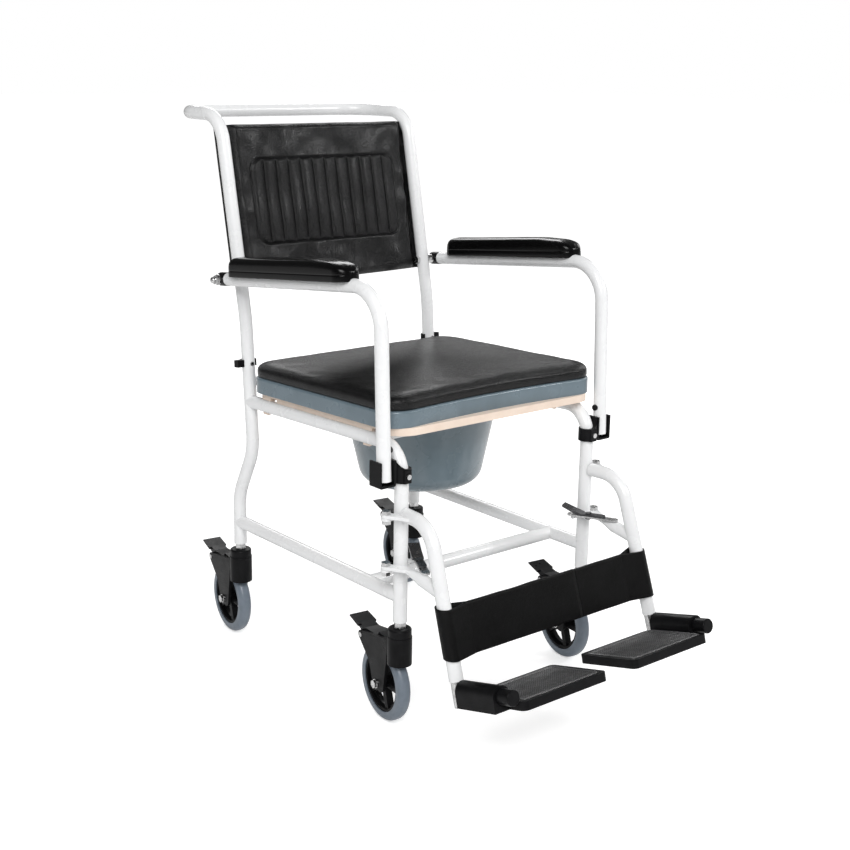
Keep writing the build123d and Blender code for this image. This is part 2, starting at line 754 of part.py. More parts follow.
def left_footplate():
    """Moulded plate with a barrel, a raised rim round the tread and a hollow underside."""
    rear = -12.0
    mid_y = rear - barrel_length / 2
    barrel = Pos(0, rear, 0) * Rot(90, 0, 0) * Cylinder(barrel_r, barrel_length, align=LOW)
    foot = Pos(0, mid_y, 0) * Box(
        2 * barrel_r, barrel_length, plate_drop + plate_skirt, align=(Align.CENTER, Align.CENTER, Align.MAX)
    )
    middle = Pos(-plate_width / 2 - barrel_r + 4, plate_rear - plate_depth / 2)
    outline = middle * Rectangle(plate_width, plate_depth)
    outline = fillet(outline.vertices().group_by(Axis.X)[0], 8)
    outline = fillet(outline.vertices().group_by(Axis.X)[-1].sort_by(Axis.Y)[-1:], 22)
    outline = fillet(outline.vertices().group_by(Axis.X)[-1].sort_by(Axis.Y)[0:1], 10)
    plate = Pos(0, 0, -plate_drop - plate_skirt) * extrude(outline, plate_skirt)
    tread = Pos(0, 0, -plate_drop - 1) * extrude(offset(outline, -plate_rim), 2)
    under = Pos(0, 0, -plate_drop - plate_skirt - 1) * extrude(offset(outline, -3), plate_skirt - 3)
    ribs = Compound([
        Pos(-plate_width / 2 - barrel_r + 4, plate_rear - plate_depth * k / 4, -plate_drop - 6.5)
        * Box(plate_width - 4, 2.5, 9)
        for k in (1, 2, 3)
    ])
    body = plate - tread - under
    body += ribs
    body += barrel + foot
    bore = Cylinder(spindle_d / 2 + run_gap, barrel_length + 60, align=LOW)
    return spindle_frame() * (body - Pos(0, 20, 0) * Rot(90, 0, 0) * bore)


# Seat, built flat and laid on the rails

def seat_frame():
    tilt = radians(rail_rise)
    top = rail_front_z + tube_r / cos(tilt)
    return Plane(origin=(0, 0, top), x_dir=(1, 0, 0), z_dir=(0, sin(tilt), cos(tilt)))


def seat_outline(width, depth, front_y, corner, dip=0.0):
    """Rounded rectangle whose front edge curves in by dip at the middle."""
    if dip == 0:
        return Pos(0, front_y + depth / 2) * RectangleRounded(width, depth, corner)
    half = width / 2
    rear_y = front_y + depth
    front = ThreePointArc((-half, front_y), (0, front_y + dip), (half, front_y))
    rest = Polyline((half, front_y), (half, rear_y), (-half, rear_y), (-half, front_y))
    outline = make_face([front, *rest.edges()])
    return fillet(outline.vertices(), corner)


def opening_outline(margin=0.0):
    return Pos(0, opening_y) * Ellipse(opening_width / 2 + margin, opening_depth / 2 + margin)


def rail_shadow(side):
    """Space that a rail takes up, in the seat's own plane."""
    length = 2 * board_depth
    return Pos(side * leg_x, board_depth / 2, -tube_r) * Rot(90, 0, 0) * Cylinder(tube_r + 0.02, length)


def seat_board():
    """Base board with four moulded clips that hook round the rails from inside."""
    front = seat_front_y + 2
    board = extrude(seat_outline(board_width, board_depth, front, 40), board_thick)
    board -= extrude(opening_outline(), board_thick)
    for y in (notch_front_y, notch_rear_y):
        for side in (-1, 1):
            board -= Pos(side * board_width / 2, y, 0) * Box(44, notch_width, board_thick - 1)
    board = Pos(seat_shift, 0, 0) * board
    section = Circle(tube_r + soft_gap + 3) - Circle(tube_r + soft_gap)
    section -= Pos(tube_r + 8, -tube_r / 2) * Rectangle(2 * tube_r + 10, 60)
    for y in (notch_front_y, notch_rear_y):
        for side in (-1, 1):
            hook = section if side > 0 else mirror(section, about=Plane.YZ)
            board += Pos(side * leg_x, y + clip_offset, -tube_r) * extrude(Plane.XZ * hook, clip_width)
        board -= rail_shadow(-1) + rail_shadow(1)
    return seat_frame() * board


def seat_ring():
    """Grey commode seat, hollow underneath, with a dipped front edge."""
    outline = seat_outline(ring_width, ring_depth, seat_front_y, 42, front_dip)
    ring = extrude(outline, ring_height)
    ring = fillet(ring.edges().group_by(Axis.Z)[-1], 4)
    ring -= extrude(opening_outline(), ring_height)
    hollow = offset(outline, -ring_wall) - opening_outline(ring_wall)
    ring -= extrude(hollow, ring_height - ring_wall)
    return seat_frame() * Pos(seat_shift, 0, board_thick) * ring


def seat_cushion():
    base = board_thick + ring_height + soft_gap
    outline = seat_outline(ring_width - 4, ring_depth - 4, seat_front_y + 2, 42, front_dip)
    pad = extrude(outline, cushion_height)
    pad = fillet(pad.edges().group_by(Axis.Z)[-1], 17)
    return seat_frame() * Pos(seat_shift, 0, base) * pad


def pan():
    """Commode pan that hangs by its square rim, with a finger tab behind."""
    top_z = -guide_wall - slide_gap
    rim = extrude(RectangleRounded(rim_size, rim_size, 60), -rim_thick)
    tab = Pos(0, rim_size / 2 + 8, -rim_thick / 2) * Box(70, 24, rim_thick)
    bowl_top = Circle(pan_top_r)
    bowl_low = Pos(0, 0, -pan_depth) * Circle(pan_base_r)
    bowl = loft([bowl_top, bowl_low])
    bowl = fillet(bowl.edges().sort_by(Axis.Z)[0], 30)
    inner_top = Pos(0, 0, 1) * Circle(pan_top_r - pan_wall + 0.2)
    inner_low = Pos(0, 0, -pan_depth + pan_wall) * Circle(pan_base_r - pan_wall)
    inner = loft([inner_top, inner_low])
    inner = fillet(inner.edges().sort_by(Axis.Z)[0], 30 - pan_wall)
    body = rim + fillet(tab.edges().filter_by(Axis.Z).group_by(Axis.Y)[-1], 8) + bowl - inner
    return seat_frame() * Pos(seat_shift, opening_y, top_z) * body


def pan_guides():
    """Two channels screwed under the board, in which the rim slides."""
    slot = rim_thick + 2 * slide_gap
    height = slot + 2 * guide_wall
    web_x = rim_size / 2 + slide_gap
    lip = pan_flange + slide_gap - guide_clear
    channels = []
    for side in (-1, 1):
        outer = Rectangle(lip + guide_wall, height, align=(Align.MAX, Align.MAX))
        groove = Pos(-guide_wall, -guide_wall) * Rectangle(20, slot, align=(Align.MAX, Align.MAX))
        profile = Pos(web_x + guide_wall, 0) * (outer - groove)
        if side < 0:
            profile = mirror(profile, about=Plane.YZ)
        channel = extrude(Plane.XZ * profile, guide_length)
        front = opening_y - rim_size / 2 - slide_gap - guide_wall
        stop = Pos(side * (web_x - 5), front, -height / 2) * Box(
            14, guide_wall, height, align=(Align.CENTER, Align.MIN, Align.CENTER)
        )
        whole = Pos(seat_shift, 0, 0) * (Pos(0, front + guide_length, 0) * channel + stop)
        channels.append((seat_frame() * whole).solid())
    return Compound(channels)


# Back upholstery and small clips

def back_panel():
    """Stretched sheet behind the posts with its padded field between them."""
    height = (panel_top_z - panel_bottom_z) / cos(radians(back_lean))
    lean = radians(back_lean)
    mid_z = (panel_top_z + panel_bottom_z) / 2
    base = Plane(origin=(0, post_y(mid_z), mid_z), x_dir=(1, 0, 0), z_dir=(0, cos(lean), -sin(lean)))
    sheet = Pos(0, 0, tube_r + soft_gap) * extrude(
        RectangleRounded(2 * (leg_x + panel_overlap), height, 6), panel_sheet
    )
    inner = 2 * (leg_x - tube_r) - 12
    pad = Pos(0, 0, tube_r + soft_gap - panel_pad) * extrude(RectangleRounded(inner, height - 4, 10), panel_pad)
    panel = base * (sheet + pad) - back_loop_tube(tube_d + 2 * soft_gap, tube_r)
    for screw in back_screws():
        panel -= screw
    return panel


def back_screws():
    """Screws through the sheet into the back of each post."""
    lean = radians(back_lean)
    screws = []
    for z in (panel_bottom_z + 18, (panel_bottom_z + panel_top_z) / 2, panel_top_z - 18):
        for x in (-leg_x, leg_x):
            face = Plane(origin=(x, post_y(z), z), z_dir=(0, cos(lean), -sin(lean)))
            shank = face * Pos(0, 0, bore_r) * Cylinder(2, tube_r + soft_gap + panel_sheet - bore_r, align=LOW)
            head = face * Pos(0, 0, tube_r + soft_gap + panel_sheet) * Cylinder(5, 2.2, align=LOW)
            screws.append(shank + head)
    return screws


def left_rear_clip():
    """Plastic saddle that wraps the back of the post beside the seat."""
    clip = Circle(tube_r + soft_gap + 3) - Circle(tube_r + soft_gap)
    clip += Pos(tube_r + soft_gap + 7, 2) * Rectangle(10, 12)
    clip -= Circle(tube_r + soft_gap)
    clip -= Pos(0, -tube_r) * Rectangle(3 * tube_d, 2 * tube_r - 8)
    lean = atan2(mid_slope, 1)
    centre = (leg_x, post_y(rear_clip_z), rear_clip_z)
    face = Plane(origin=centre, x_dir=(1, 0, 0), z_dir=(0, sin(lean), cos(lean)))
    return face * Pos(0, 0, -6) * extrude(clip, 12)


def clip_screws():
    left = left_clip_screw()
    return [left, mirrored(left)]


def left_clip_screw():
    z = rear_clip_z
    y = post_y(z)
    head = rod((leg_x, y - tube_r - 2, z), (leg_x, y - tube_r + 0.5, z), 3.5) - rear_post_rod(leg_x)
    return head + rod((leg_x, y - tube_r - 1, z), (leg_x, y - bore_r, z), 2)


# Assembly

parts = {}


def keep(name, shape):
    parts[name] = shape


def keep_group(name, shapes):
    keep(name, Compound([s.solid() for s in shapes]))


def keep_pair(pattern, left):
    keep(pattern.format("left"), left)
    keep(pattern.format("right"), mirrored(left))


keep("frame_back_loop", back_loop())
keep_pair("frame_{}_side_tube", left_side_tube())
keep_pair("frame_{}_lower_rail", left_lower_rail())
keep("frame_crossbars", crossbars())

left = left_brackets()
keep_group("hanger_brackets", left + [mirrored(s) for s in left])
left = left_swing_bolts()
keep_group("hanger_pivot_bolts", left + [mirrored(s) for s in left])

corners = {
    "front_right": (-leg_x, 0.0),
    "front_left": (leg_x, 0.0),
    "rear_right": (-leg_x, rear_leg_y),
    "rear_left": (leg_x, rear_leg_y),
}
castor = {"fork": fork(), "pins": castor_pins(), "hub": hub(), "tyre": tyre(), "pedal": pedal()}
for corner, (x, y) in corners.items():
    for piece, shape in castor.items():
        keep(f"castor_{corner}_{piece}", Pos(x, y, 0) * Rot(0, 0, -castor_turn) * shape)
keep_group("castor_stems", [Pos(x, y, 0) * castor_stem() for x, y in corners.values()])

keep_pair("armrest_{}_tube", left_arm_tube())
keep_pair("armrest_{}_pad", left_arm_pad())
keep_pair("armrest_{}_end_plug", Compound([left_end_plug().solid(), left_bumper().solid()]))
keep_pair("armrest_{}_socket", left_socket())
left = left_pivot_hardware()
keep_group("armrest_pivot_hardware", left + [mirrored(s) for s in left])
left = [left_socket_screw(), left_clip_screw()]
keep_group("frame_screws", left + [mirrored(s) for s in left] + back_screws())

keep_pair("hanger_{}", left_hanger())
keep_pair("hanger_{}_latch_plate", left_latch_plate())
keep_pair("hanger_{}_latch_lever", left_latch_lever())
keep("calf_strap_left", strap_half(strap_seam_x + soft_gap))
keep("calf_strap_right", mirrored(strap_half(-strap_seam_x)))
keep_pair("footrest_{}_stem", left_footrest_stem())
keep_pair("footrest_{}_spindle", left_spindle())
keep_pair("footplate_{}", left_footplate())

keep("seat_board", seat_board())
keep("seat_ring", seat_ring())
keep("seat_cushion", seat_cushion())
keep("pan", pan())
keep("pan_guides", pan_guides())
keep("back_panel", back_panel())
left = left_rear_clip()
keep_group("rear_clips", [left, mirrored(left)])

boxes = [shape.bounding_box() for shape in parts.values()]
origin_y = (min(box.min.Y for box in boxes) + max(box.max.Y for box in boxes)) / 2
os.makedirs("parts", exist_ok=True)
for name, shape in parts.items():
    export_step(Pos(0, -origin_y, 0) * shape, f"parts/{name}.step")
print(len(parts), "nodes, origin", round(origin_y, 3), "mm behind the front legs")
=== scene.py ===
import json
import math
import random

import bmesh
import bpy
from mathutils import Matrix, Vector
from mathutils import noise as mnoise


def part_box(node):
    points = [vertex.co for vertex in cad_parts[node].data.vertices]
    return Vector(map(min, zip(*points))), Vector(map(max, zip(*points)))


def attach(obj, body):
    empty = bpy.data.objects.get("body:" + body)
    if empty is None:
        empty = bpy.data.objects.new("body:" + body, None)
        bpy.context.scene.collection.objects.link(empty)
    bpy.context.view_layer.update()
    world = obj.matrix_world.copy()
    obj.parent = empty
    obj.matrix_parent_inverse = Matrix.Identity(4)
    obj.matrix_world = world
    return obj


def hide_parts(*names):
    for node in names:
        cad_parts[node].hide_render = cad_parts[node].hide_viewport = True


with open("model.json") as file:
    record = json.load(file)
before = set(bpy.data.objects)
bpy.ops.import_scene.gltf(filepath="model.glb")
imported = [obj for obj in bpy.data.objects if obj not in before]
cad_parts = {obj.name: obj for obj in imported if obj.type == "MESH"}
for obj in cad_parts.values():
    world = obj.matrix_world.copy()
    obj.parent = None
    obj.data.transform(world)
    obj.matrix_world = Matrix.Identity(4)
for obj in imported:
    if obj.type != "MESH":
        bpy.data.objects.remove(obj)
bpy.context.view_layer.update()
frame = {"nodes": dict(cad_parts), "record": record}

MM = 0.001
random.seed(7)

# Chair's own frame in millimetres: y is measured rearwards from the front legs
TUBE_R = 11.0
LEG_X = 199.0
FRONT_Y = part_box("frame_left_side_tube")[0].y + TUBE_R * MM


def chair(x, y, z):
    """Millimetres from the front legs' centre line to metres in the row frame."""
    return Vector((x * MM, y * MM + FRONT_Y, z * MM))


def local(origin, across, along, out):
    """A function that places (across, along, out) millimetres in a tilted frame."""
    def place(a, b, c):
        return origin + (across * a + along * b + out * c) * MM
    return place


BACK_LEAN = math.radians(11.5)
POST_FOOT_Y, POST_FOOT_Z = 423.0, 583.0
SEAT_TILT = math.radians(1.67)
SEAT_Z = 457.5 + TUBE_R / math.cos(SEAT_TILT)
ARM_RISE = math.radians(5.8)
ARM_PIVOT_Z = 655.0
HANGER_SPLAY = math.radians(4.5)
HANGER_LEAN = math.radians(18.5)
PLATE_TILT = math.radians(15.0)

X = Vector((1, 0, 0))
Z = Vector((0, 0, 1))


# Materials

def new_material(name):
    mat = bpy.data.materials.new(name)
    mat.use_nodes = True
    tree = mat.node_tree
    return mat, tree, tree.nodes["Principled BSDF"]


def node(tree, kind, **values):
    made = tree.nodes.new(kind)
    for key, value in values.items():
        if key in made.inputs:
            made.inputs[key].default_value = value
        else:
            setattr(made, key, value)
    return made


def object_coords(tree):
    return node(tree, "ShaderNodeTexCoord").outputs["Object"]


def ramp(tree, source, stops):
    """Colour ramp with (position, colour) stops."""
    made = tree.nodes.new("ShaderNodeValToRGB")
    elements = made.color_ramp.elements
    while len(elements) < len(stops):
        elements.new(0.5)
    for element, (at, colour) in zip(elements, stops):
        element.position = at
        element.color = (*colour, 1.0)
    tree.links.new(source, made.inputs["Fac"])
    return made.outputs["Color"]


def grey(value):
    return (value, value, value)


def noise_map(tree, coords, scale, detail=3.0, roughness=0.55):
    made = node(tree, "ShaderNodeTexNoise", Scale=scale, Detail=detail, Roughness=roughness)
    tree.links.new(coords, made.inputs["Vector"])
    return made.outputs["Fac"]


def cell_map(tree, coords, scale, feature="F1", randomness=1.0):
    made = node(tree, "ShaderNodeTexVoronoi", feature=feature, Scale=scale, Randomness=randomness)
    tree.links.new(coords, made.inputs["Vector"])
    return made.outputs["Distance"]


def math_node(tree, operation, a, b):
    made = tree.nodes.new("ShaderNodeMath")
    made.operation = operation
    for socket, value in zip(made.inputs, (a, b)):
        if isinstance(value, (int, float)):
            socket.default_value = value
        else:
            tree.links.new(value, socket)
    return made.outputs[0]


def bump(tree, height, strength, distance, below=None):
    made = node(tree, "ShaderNodeBump", Strength=strength, Distance=distance)
    tree.links.new(height, made.inputs["Height"])
    if below is not None:
        tree.links.new(below, made.inputs["Normal"])
    return made.outputs["Normal"]


def worn_edges(tree, radius, amount):
    """Lightness along convex edges, from how far a bevelled normal departs."""
    bevel = node(tree, "ShaderNodeBevel", samples=4, Radius=radius)
    geometry = tree.nodes.new("ShaderNodeNewGeometry")
    dot = tree.nodes.new("ShaderNodeVectorMath")
    dot.operation = "DOT_PRODUCT"
    tree.links.new(bevel.outputs["Normal"], dot.inputs[0])
    tree.links.new(geometry.outputs["Normal"], dot.inputs[1])
    return math_node(tree, "MULTIPLY", math_node(tree, "SUBTRACT", 1.0, dot.outputs["Value"]), amount)


def surface(name, dark, light, rough, rough_spread, metallic=0.0, mottle=60.0, fine=900.0,
            fine_bump=0.15, bump_depth=0.0002, specular=0.5, coat=0.0, sheen=0.0):
    """Mottled colour, uneven roughness and a fine bump."""
    mat, tree, shader = new_material(name)
    coords = object_coords(tree)
    blotch = noise_map(tree, coords, mottle)
    grain = noise_map(tree, coords, fine, 2.0)
    tree.links.new(ramp(tree, blotch, [(0.3, dark), (0.7, light)]), shader.inputs["Base Color"])
    low, high = rough - rough_spread, rough + rough_spread
    tree.links.new(ramp(tree, blotch, [(0.25, grey(high)), (0.75, grey(low))]), shader.inputs["Roughness"])
    tree.links.new(bump(tree, grain, fine_bump, bump_depth), shader.inputs["Normal"])
    shader.inputs["Metallic"].default_value = metallic
    shader.inputs["Specular IOR Level"].default_value = specular
    shader.inputs["Coat Weight"].default_value = coat
    shader.inputs["Coat Roughness"].default_value = 0.12
    shader.inputs["Sheen Weight"].default_value = sheen
    return mat


def vinyl(name, scale, depth, dark, light, rough, folding=1.0, specular=0.24):
    """Leather-grain vinyl: small cells with creases between them and softer folds."""
    mat, tree, shader = new_material(name)
    coords = object_coords(tree)
    warp = node(tree, "ShaderNodeTexNoise", Scale=scale * 0.35, Detail=2.0)
    tree.links.new(coords, warp.inputs["Vector"])
    mix = tree.nodes.new("ShaderNodeMix")
    mix.data_type = "VECTOR"
    mix.inputs["Factor"].default_value = 0.004
    tree.links.new(coords, mix.inputs[4])
    tree.links.new(warp.outputs["Color"], mix.inputs[5])
    cells = cell_map(tree, mix.outputs[1], scale, "DISTANCE_TO_EDGE")
    creases = ramp(tree, cells, [(0.0, grey(0.0)), (0.16, grey(1.0))])
    pores = noise_map(tree, coords, scale * 2.6, 2.0)
    folds = noise_map(tree, coords, scale * 0.02, 2.0)
    creases_wide = noise_map(tree, coords, scale * 0.06, 3.0, 0.6)
    soft = bump(tree, folds, 0.7 * folding, 0.0022)
    soft = bump(tree, creases_wide, 0.35 * folding, 0.0007, soft)
    grain = bump(tree, creases, depth, 0.00022, soft)
    fine = bump(tree, pores, depth * 0.5, 0.00008, grain)
    tree.links.new(fine, shader.inputs["Normal"])
    tone = noise_map(tree, coords, scale * 0.06, 3.0)
    tree.links.new(ramp(tree, tone, [(0.3, dark), (0.7, light)]), shader.inputs["Base Color"])
    shade = math_node(tree, "MULTIPLY_ADD", creases, -0.09)
    shade.node.inputs[2].default_value = rough + 0.09
    tree.links.new(shade, shader.inputs["Roughness"])
    shader.inputs["Specular IOR Level"].default_value = specular
    shader.inputs["Coat Weight"].default_value = 0.05
    shader.inputs["Coat Roughness"].default_value = 0.35
    return mat


MATERIALS = {
    "frame_white": surface("powder_coat_white", (0.815, 0.82, 0.825), (0.84, 0.845, 0.85), 0.27, 0.02,
                           mottle=30, fine=1400, fine_bump=0.12, bump_depth=0.00012, coat=0.25),
    "steel": surface("bright_zinc", (0.50, 0.50, 0.50), (0.72, 0.72, 0.72), 0.26, 0.1,
                     metallic=1.0, mottle=160, fine=2600, fine_bump=0.2),
    "plastic_black": surface("moulded_black", (0.004, 0.004, 0.0044), (0.008, 0.008, 0.0088), 0.34, 0.08,
                             mottle=45, fine=1800, fine_bump=0.3, specular=0.11),
    "tyre_grey": surface("tyre_grey_blue", (0.135, 0.165, 0.20), (0.175, 0.205, 0.245), 0.36, 0.05,
                         mottle=50, fine=1500, fine_bump=0.12),
    "ring_grey": surface("seat_ring_grey", (0.118, 0.160, 0.188), (0.142, 0.190, 0.222), 0.30, 0.06,
                         mottle=22, fine=700, fine_bump=0.04, coat=0.15),
    "board_beige": surface("board_beige", (0.80, 0.65, 0.54), (0.87, 0.73, 0.62), 0.42, 0.07,
                           mottle=26, fine=1100, fine_bump=0.2),
    "pan_grey": surface("pan_grey", (0.135, 0.180, 0.208), (0.165, 0.215, 0.245), 0.27, 0.05,
                        mottle=18, fine=700, fine_bump=0.03, coat=0.3),
    "paddle_grey": surface("paddle_grey", (0.045, 0.045, 0.047), (0.10, 0.10, 0.104), 0.30, 0.1,
                           metallic=0.7, mottle=120, fine=1600),
    "pad_black": vinyl("skin_foam_black", 1700.0, 0.04, (0.001, 0.001, 0.0011), (0.002, 0.002, 0.0022), 0.17,
                       folding=0.05, specular=0.22),
    "vinyl_black": vinyl("vinyl_black", 720.0, 0.55, (0.002, 0.002, 0.0022), (0.005, 0.005, 0.0055), 0.27,
                         specular=0.30),
}
STRAP_VINYL = vinyl("strap_vinyl", 620.0, 0.6, (0.001, 0.001, 0.0011), (0.003, 0.003, 0.0033), 0.38,
                    specular=0.13)
# painted light: the tread's grey is lighter than the plate's black to stand in for light falling on its upward face
TREAD_PAINTED_LIGHT = surface("tread_painted_light", (0.030, 0.030, 0.031), (0.052, 0.052, 0.053), 0.36, 0.08, mottle=60, fine=1800,
                      fine_bump=0.3)
# painted highlight: the bead's grey is lighter than the tread's to stand in for light caught along the raised line
BEAD_PAINTED_HIGHLIGHT = surface("bead_painted_highlight", (0.085, 0.085, 0.087), (0.11, 0.11, 0.112), 0.24, 0.05, mottle=80, fine=1800)
THREAD = surface("thread_black", (0.002, 0.002, 0.002), (0.006, 0.006, 0.006), 0.6, 0.1, mottle=900, fine=3000,
                 specular=0.15)

for part in frame["record"]["subparts"]:
    shape = frame["nodes"][part["node"]]
    shape.data.materials.clear()
    shape.data.materials.append(MATERIALS[part["material_slot"]])


# Mesh helpers

def make_mesh(name, verts, faces, material, smooth=True):
    mesh = bpy.data.meshes.new(name)
    mesh.from_pydata([tuple(v) for v in verts], [], faces)
    mesh.validate()
    if smooth:
        mesh.polygons.foreach_set("use_smooth", [True] * len(mesh.polygons))
    mesh.materials.append(material)
    made = bpy.data.objects.new(name, mesh)
    bpy.context.scene.collection.objects.link(made)
    return made


def tidy_mesh(obj, merge=0.00002):
    work = bmesh.new()
    work.from_mesh(obj.data)
    bmesh.ops.remove_doubles(work, verts=work.verts, dist=merge)
    bmesh.ops.recalc_face_normals(work, faces=work.faces)
    work.to_mesh(obj.data)
    work.free()
    return obj


def loft(name, rings, material, caps=True):
    """Closed rings of equal length joined in order."""
    count = len(rings[0])
    verts = [p for ring in rings for p in ring]
    faces = []
    for r in range(len(rings) - 1):
        for k in range(count):
            a, b = r * count + k, r * count + (k + 1) % count
            faces.append((a, b, b + count, a + count))
    if caps:
        faces.append(tuple(range(count)))
        last = (len(rings) - 1) * count
        faces.append(tuple(last + k for k in reversed(range(count))))
    return tidy_mesh(make_mesh(name, verts, faces, material))


def fold_noise(x, y, z, scale):
    return mnoise.noise(Vector((x / scale, y / scale, z / scale)))


def smoothstep(a, b, t):
    t = max(0.0, min(1.0, (t - a) / (b - a)))
    return t * t * (3 - 2 * t)


def stitches(name, path, normals, body, pitch=4.2, length=3.0, radius=0.42):
    """A row of short sewn threads that follows a path and lies on the surface."""
    verts, faces = [], []
    travelled, target = 0.0, pitch / 2
    for (a, b), n in zip(zip(path, path[1:]), normals):
        span = (b - a).length / MM
        if span < 1e-6:
            continue
        along = (b - a).normalized()
        side = along.cross(n).normalized()
        while target <= travelled + span:
            centre = a + along * (target - travelled) * MM
            base = len(verts)
            for t, r in ((-0.5, 0.2), (-0.3, 0.9), (0.3, 0.9), (0.5, 0.2)):
                for k in range(6):
                    turn = math.tau * k / 6
                    offset = side * math.cos(turn) * r + n * math.sin(turn) * r * 0.7
                    verts.append(centre + along * t * length * MM + offset * radius * MM)
            for j in range(3):
                for k in range(6):
                    p, q = base + j * 6 + k, base + j * 6 + (k + 1) % 6
                    faces.append((p, q, q + 6, p + 6))
            faces.append(tuple(base + k for k in reversed(range(6))))
            faces.append(tuple(base + 18 + k for k in range(6)))
            target += pitch
        travelled += span
    made = make_mesh(name, verts, faces, THREAD)
    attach(made, body)
    return made


# Back upholstery

PANEL_LOW, PANEL_HIGH = 642.0, 905.5
PANEL_HALF = 207.0
FIELD_HALF, FIELD_LOW, FIELD_HIGH, FIELD_CORNER = 153.0, 706.0, 848.0, 20.0
CHANNELS = 12
panel_mid = (PANEL_LOW + PANEL_HIGH) / 2
panel_y = POST_FOOT_Y + (panel_mid - POST_FOOT_Z) * math.tan(BACK_LEAN)
panel_up = Vector((0, math.sin(BACK_LEAN), math.cos(BACK_LEAN)))
panel_rear = Vector((0, math.cos(BACK_LEAN), -math.sin(BACK_LEAN)))
panel_at = local(chair(0, panel_y, panel_mid), X, panel_up, panel_rear)
panel_half_v = (PANEL_HIGH - PANEL_LOW) / 2 / math.cos(BACK_LEAN)
field_v = [(z - panel_mid) / math.cos(BACK_LEAN) for z in (FIELD_LOW, FIELD_HIGH)]


def rounded_box_distance(u, v, half_u, half_v, corner):
    """Signed distance to a rounded rectangle about the origin, negative inside."""
    dx, dy = abs(u) - half_u + corner, abs(v) - half_v + corner
    outside = math.hypot(max(dx, 0), max(dy, 0))
    return outside + min(max(dx, dy), 0) - corner


def groove(distance, width):
    return math.exp(-(distance / width) ** 2)


def channel_profile(t):
    """Height across one sewn channel: it rises fast from one seam and falls slowly to the next."""
    return math.sin(math.pi * t ** 0.62) ** 0.8


def panel_front(u, v):
    """Depth of the front surface behind the post's centre line."""
    middle = (field_v[0] + field_v[1]) / 2
    half = (field_v[1] - field_v[0]) / 2
    d = rounded_box_distance(u, v - middle, FIELD_HALF, half, FIELD_CORNER)
    depth = -0.6 + 12.2 * smoothstep(172, 187, abs(u))
    outside = smoothstep(-6, 10, d)
    depth += 3.0 * fold_noise(u, v, 3, 70) + (0.3 + 1.1 * outside) * fold_noise(u, v, 9, 28)
    low_folds = 1 - smoothstep(-100, -60, v)
    depth += low_folds * 1.6 * math.sin(u / 13.0 + 2.2 * fold_noise(u, v, 4, 45))
    edge = panel_half_v - abs(v)
    depth += 7.5 * (1 - smoothstep(0, 7, edge)) * (1 - smoothstep(172, 187, abs(u)))
    pitch = 2 * FIELD_HALF / CHANNELS
    inner = 1 - smoothstep(-5, -1, d)
    across = (u + FIELD_HALF) / pitch
    line = abs(across - round(across)) * pitch
    end = 0 < round(across) < CHANNELS
    puff = -2.6 * channel_profile(across - math.floor(across)) * inner
    depth += puff if abs(u) < FIELD_HALF else 0.0
    depth += 3.0 * groove(line, 0.9) * inner * end
    depth += 1.9 * groove(d, 1.3)
    wrinkle = smoothstep(150, 186, abs(u)) * (1 - smoothstep(186, 190, abs(u)))
    depth += wrinkle * 0.8 * math.sin(v / 9.0 + 1.3 * math.sin(v / 23.0))
    return depth


def grid_lines(low, high, step, seams):
    """Even steps with closer ones round each sewn seam."""
    count = round((high - low) / step)
    lines = [low + (high - low) * k / count for k in range(count + 1)]
    near = (0.0, 0.7, 1.4, 2.3)
    for seam in seams:
        lines = [at for at in lines if abs(at - seam) > 2.9 or at in (low, high)]
        lines += [seam + side * off for off in near for side in (-1, 1)]
    return sorted(set(lines))


def panel_point(u, v, depth):
    """Point on the sheet, whose low edge sags a little in the middle."""
    sag = 2.5 * (1 - min(1, abs(u) / 190) ** 2) * (1 - smoothstep(-panel_half_v, 30 - panel_half_v, v))
    return panel_at(u, v - sag, depth)


def build_panel():
    seams = [-FIELD_HALF + 2 * FIELD_HALF * k / CHANNELS for k in range(CHANNELS + 1)]
    columns = grid_lines(-PANEL_HALF, PANEL_HALF, 2.4, seams)
    rows = grid_lines(-panel_half_v, panel_half_v, 2.9, field_v)
    verts, faces = [], []
    for v in rows:
        for u in columns:
            verts.append(panel_point(u, v, panel_front(u, v)))
    for v in rows:
        edge = panel_half_v - abs(v)
        for u in columns:
            hem = 1.6 * (1 - smoothstep(0, 5, edge))
            verts.append(panel_point(u, v, 14.2 - hem + 0.4 * fold_noise(u, v, 30, 45)))
    n, last = len(columns), len(rows) - 1
    back = len(rows) * n
    for r in range(last):
        for k in range(n - 1):
            a = r * n + k
            faces.append((a, a + 1, a + 1 + n, a + n))
            faces.append((back + a, back + a + n, back + a + 1 + n, back + a + 1))
    for k in range(n - 1):
        faces.append((k, back + k, back + k + 1, k + 1))
        top = last * n + k
        faces.append((top, top + 1, back + top + 1, back + top))
    for r in range(last):
        a, b = r * n, (r + 1) * n
        faces.append((a, b, back + b, back + a))
        a, b = r * n + n - 1, (r + 1) * n + n - 1
        faces.append((a, back + a, back + b, b))
    panel = tidy_mesh(make_mesh("back_upholstery", verts, faces, MATERIALS["vinyl_black"]))
    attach(panel, "frame")
    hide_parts("back_panel")
    return panel


def surface_stitches(name, points):
    path = [panel_point(u, v, panel_front(u, v) - 0.15) for u, v in points]
    stitches(name, path, [-panel_rear] * len(path), "frame")


def rounded_outline(half_u, half_v, corner, steps=8):
    points = []
    for cx, cy, start in ((1, 1, 0), (-1, 1, 90), (-1, -1, 180), (1, -1, 270)):
        for k in range(steps + 1):
            a = math.radians(start + 90 * k / steps)
            points.append((cx * (half_u - corner) + corner * math.cos(a),
                           cy * (half_v - corner) + corner * math.sin(a)))
    return points + points[:1]


def dense(points, step=2.0):
    out = []
    for (ax, ay), (bx, by) in zip(points, points[1:]):
        n = max(1, int(math.hypot(bx - ax, by - ay) / step))
        out += [(ax + (bx - ax) * k / n, ay + (by - ay) * k / n) for k in range(n)]
    return out + points[-1:]


